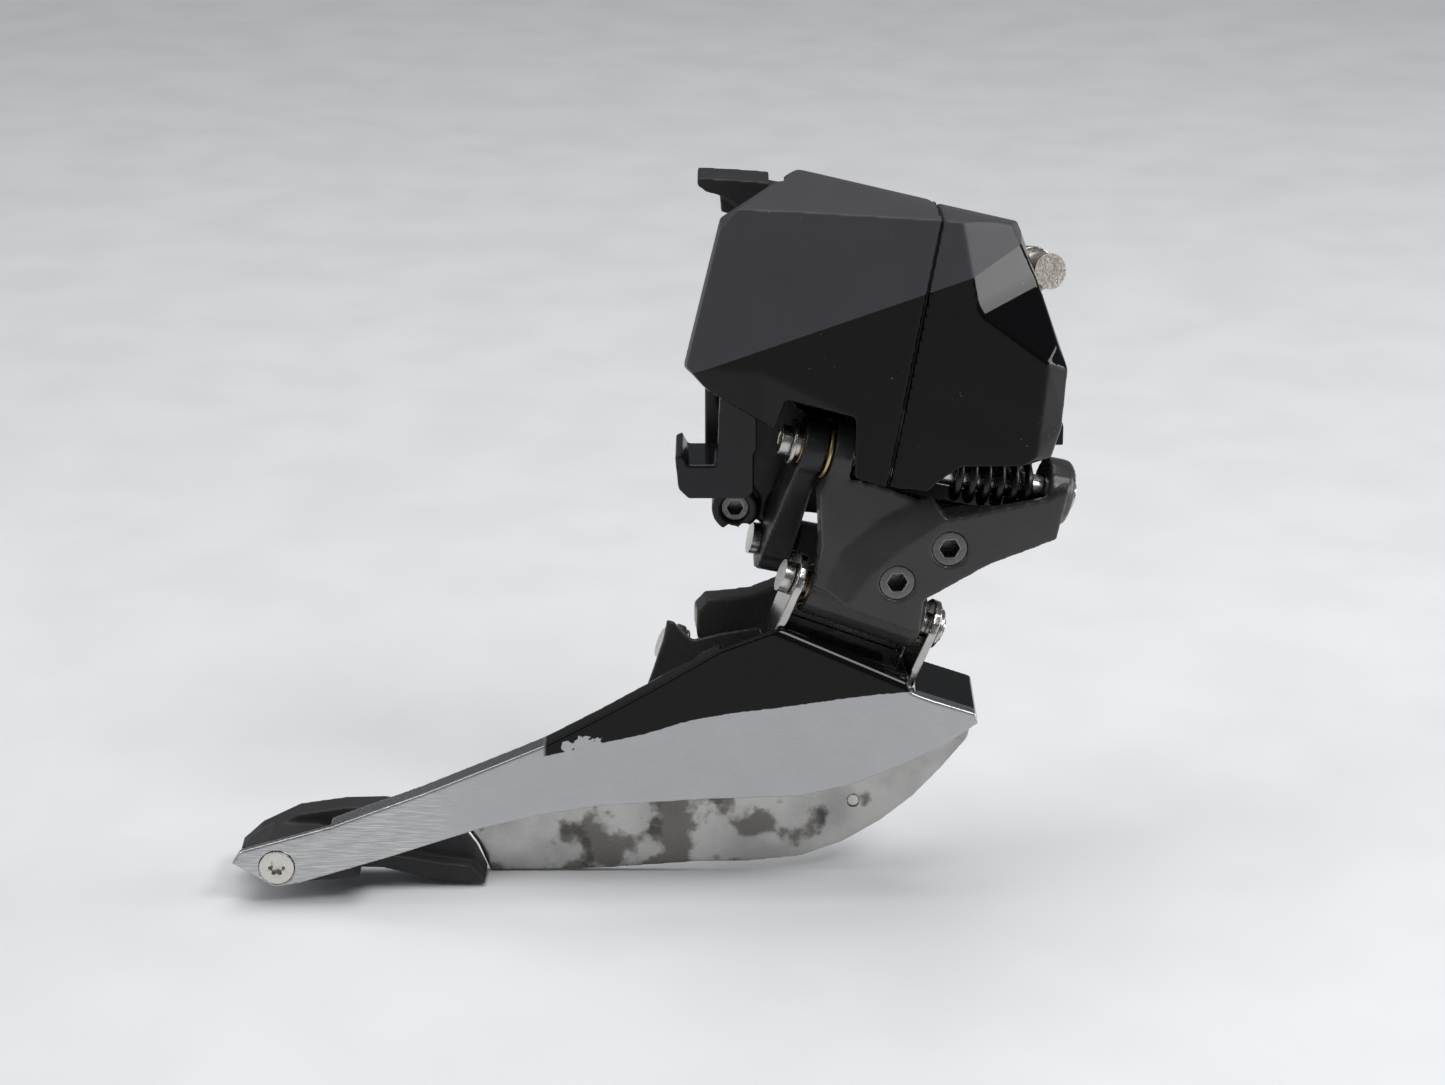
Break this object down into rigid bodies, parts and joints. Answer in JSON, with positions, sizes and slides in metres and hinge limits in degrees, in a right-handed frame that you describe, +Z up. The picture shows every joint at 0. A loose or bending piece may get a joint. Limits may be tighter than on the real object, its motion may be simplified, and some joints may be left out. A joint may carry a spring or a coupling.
{
  "type": "front derailleur",
  "caption": "Motor-driven front derailleur with a faceted housing, a parallelogram linkage and a long two-plate chain cage.",
  "frame": {"origin": "centre of the hanger seat, on the axis of the mount bolt", "axes": "+X forward along the bicycle, +Y inboard toward the seat tube, +Z up, as pictured with the cage standing on a level surface"},
  "size_m": [0.12, 0.0328, 0.1046],
  "materials": {
    "shell": "satin charcoal over gloss black",
    "frame_black": "black anodised",
    "link_black": "satin black",
    "cage_aluminium": "satin grey with brushed wear",
    "polished_steel": "polished and stained by use",
    "pin_steel": "bright",
    "screw_black": "black oxide",
    "bronze": "bearing bronze",
    "brass": "bright brass",
    "black_plastic": "fine matte",
    "rubber": "matte",
    "board": "solder mask",
    "gold": "gold plated"
  },
  "bodies": {
    "frame": {"base_frame": "frame_black", "housing_rear": "shell", "housing_front": "shell", "housing_gasket": "rubber", "housing_screw_1": "screw_black", "housing_screw_2": "screw_black", "housing_screw_3": "screw_black", "tray_screw_lower": "screw_black", "tray_screw_upper": "screw_black", "battery_tray": "black_plastic", "contact_block": "black_plastic", "contact_pin_1": "gold", "contact_pin_2": "gold", "contact_pin_3": "gold", "circuit_board": "board", "motor": "pin_steel", "mount_insert": "pin_steel", "mount_bolt": "pin_steel", "curved_washer": "pin_steel", "latch_pin": "pin_steel", "rear_bushing": "bronze", "gear_bushing_rear": "bronze", "gear_bushing_front": "bronze", "torsion_spring": "screw_black", "upper_inner_pin": "pin_steel"},
    "outer_link": {"outer_link": "link_black", "output_shaft": "pin_steel", "sector_gear": "brass", "shaft_end_screw": "pin_steel", "shaft_end_washer": "pin_steel", "thrust_washer": "brass", "link_bushing_rear": "bronze", "link_bushing_front": "bronze"},
    "cage": {"outer_plate": "cage_aluminium", "inner_plate": "polished_steel", "ear_bracket": "polished_steel", "ear_rivet_1": "pin_steel", "ear_rivet_2": "pin_steel", "lower_outer_pin": "pin_steel", "lower_outer_clip": "pin_steel", "inner_bracket": "link_black", "bracket_rivet_1": "pin_steel", "bracket_rivet_2": "pin_steel", "bracket_rivet_3": "pin_steel", "bridge_rivet_1": "pin_steel", "bridge_rivet_2": "pin_steel", "lower_inner_pin": "pin_steel", "lower_inner_washer": "pin_steel", "tail_block": "black_plastic", "tail_screw": "pin_steel"},
    "inner_link": {"inner_link": "link_black"},
    "compound_gear_2": {"compound_gear_2": "brass"},
    "compound_gear_1": {"compound_gear_1": "brass"},
    "motor_pinion": {"motor_pinion": "brass"},
    "battery_latch": {"battery_latch": "black_plastic"},
    "function_button": {"function_button": "rubber"},
    "limit_screw_high": {"limit_screw_high": "screw_black"},
    "limit_screw_low": {"limit_screw_low": "screw_black"},
    "support_screw": {"support_screw": "screw_black"}
  },
  "joints": [
    {"name": "outer_link_swing", "type": "hinge", "parent": "frame", "child": "outer_link", "pos_m": [-0.0205, -0.0146, -0.0229], "axis": [-0.9639, -0.1184, 0.2385], "range_deg": [0, 26]},
    {"name": "inner_link_swing", "type": "hinge", "parent": "frame", "child": "inner_link", "pos_m": [-0.0205, 0, -0.0436], "axis": [-0.9639, -0.1184, 0.2385], "range_deg": [0, 26]},
    {"name": "cage_pivot", "type": "hinge", "parent": "outer_link", "child": "cage", "pos_m": [-0.0205, -0.0134, -0.0454], "axis": [-0.9183, -0.1128, 0.3795], "range_deg": [-26, 0]},
    {"name": "compound_gear_2_spin", "type": "hinge", "parent": "frame", "child": "compound_gear_2", "pos_m": [-0.01745, -0.01171, -0.00913], "axis": [-0.9639, -0.1184, 0.2385], "range_deg": [-131, 0]},
    {"name": "compound_gear_1_spin", "type": "hinge", "parent": "frame", "child": "compound_gear_1", "pos_m": [-0.01517, -0.01143, 0.00019], "axis": [-0.9639, -0.1184, 0.2385], "range_deg": [0, 391]},
    {"name": "motor_spin", "type": "hinge", "parent": "frame", "child": "motor_pinion", "pos_m": [-0.01613, -0.01628, -0.00609], "axis": [-0.9639, -0.1184, 0.2385], "range_deg": [-1171, 0]},
    {"name": "battery_latch_flip", "type": "hinge", "parent": "frame", "child": "battery_latch", "pos_m": [-0.0343, -0.006, 0.0099], "axis": [0, 1, 0], "range_deg": [0, 35]},
    {"name": "function_button_press", "type": "slide", "parent": "frame", "child": "function_button", "axis": [-1, 0, 0], "range_m": [0, 0.0006], "stiffness_N_per_m": 2500},
    {"name": "limit_screw_high_turn", "type": "hinge", "parent": "outer_link", "child": "limit_screw_high", "pos_m": [-0.0095, -0.01325, -0.0352], "axis": [-0.1219, 0.9925, 0], "range_deg": [-180, 180]},
    {"name": "limit_screw_low_turn", "type": "hinge", "parent": "outer_link", "child": "limit_screw_low", "pos_m": [-0.0168, -0.01415, -0.0399], "axis": [-0.1219, 0.9925, 0], "range_deg": [-180, 180]},
    {"name": "support_screw_turn", "type": "hinge", "parent": "frame", "child": "support_screw", "pos_m": [-0.0387, 0.001, -0.0349], "axis": [0, 1, 0], "range_deg": [-180, 180]}
  ],
  "couplings": [
    {"joint": "inner_link_swing", "follows": "outer_link_swing", "ratio": 1},
    {"joint": "cage_pivot", "follows": "outer_link_swing", "ratio": -0.989},
    {"joint": "compound_gear_2_spin", "follows": "outer_link_swing", "ratio": -5},
    {"joint": "compound_gear_1_spin", "follows": "outer_link_swing", "ratio": 15},
    {"joint": "motor_spin", "follows": "outer_link_swing", "ratio": -45}
  ]
}
